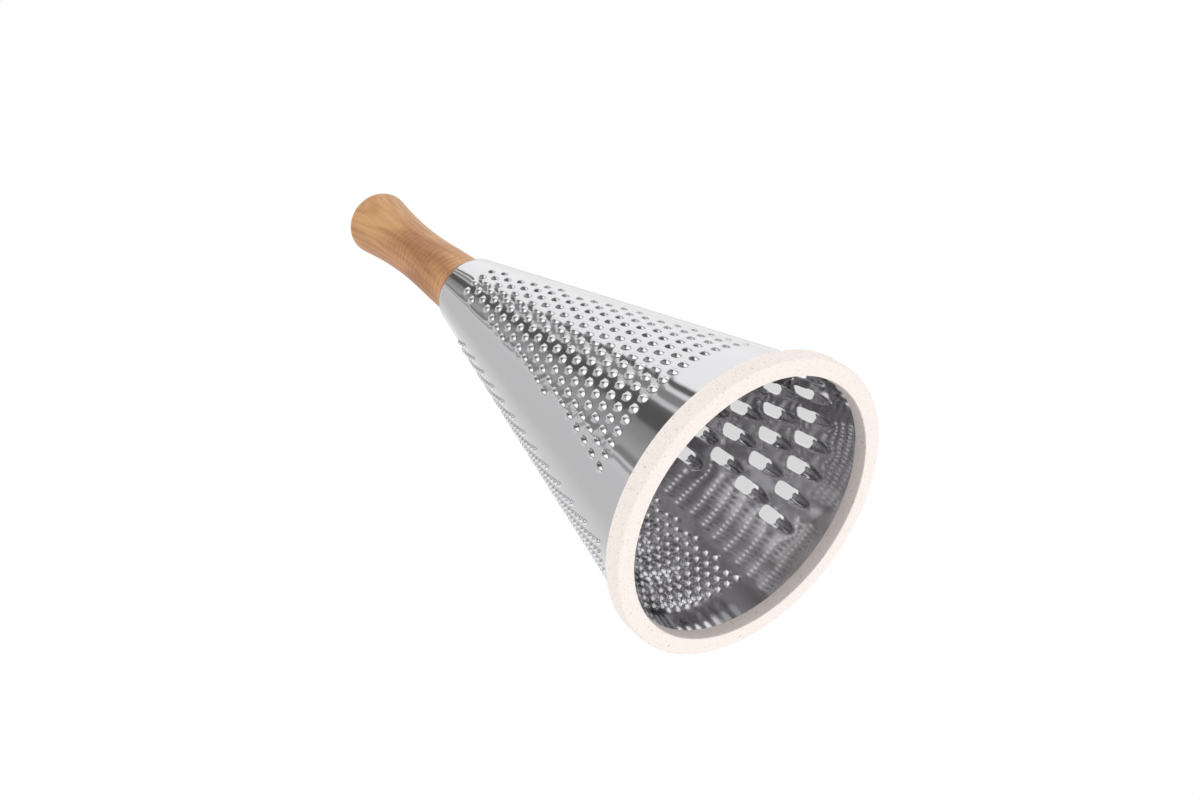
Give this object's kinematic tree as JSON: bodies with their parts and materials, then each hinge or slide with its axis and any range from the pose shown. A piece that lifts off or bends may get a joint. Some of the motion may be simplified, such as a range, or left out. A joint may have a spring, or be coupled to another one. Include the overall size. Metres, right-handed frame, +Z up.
{
  "type": "cone grater",
  "caption": "Steel cone grater with fine, medium and coarse zones of punched teeth, a turned wooden handle and a pale ring round its mouth.",
  "frame": {"origin": "centre of the base ring's lower face, on the surface that the grater stands on", "axes": "+Z up along the cone's axis to the handle's end; the medium teeth face -Y, the coarse teeth +X and a little +Y, the fine teeth -X and a little +Y"},
  "size_m": [0.112, 0.112, 0.2717],
  "materials": {
    "steel": "polished",
    "ring": "matte, finely speckled",
    "wood": "oiled",
    "cup_steel": "satin",
    "screw_steel": "zinc plated"
  },
  "bodies": {
    "root": {"grater_cone": "steel", "base_ring": "ring", "handle": "wood", "inner_cup": "cup_steel", "screw_washer": "screw_steel", "handle_screw": "screw_steel"}
  },
  "joints": []
}
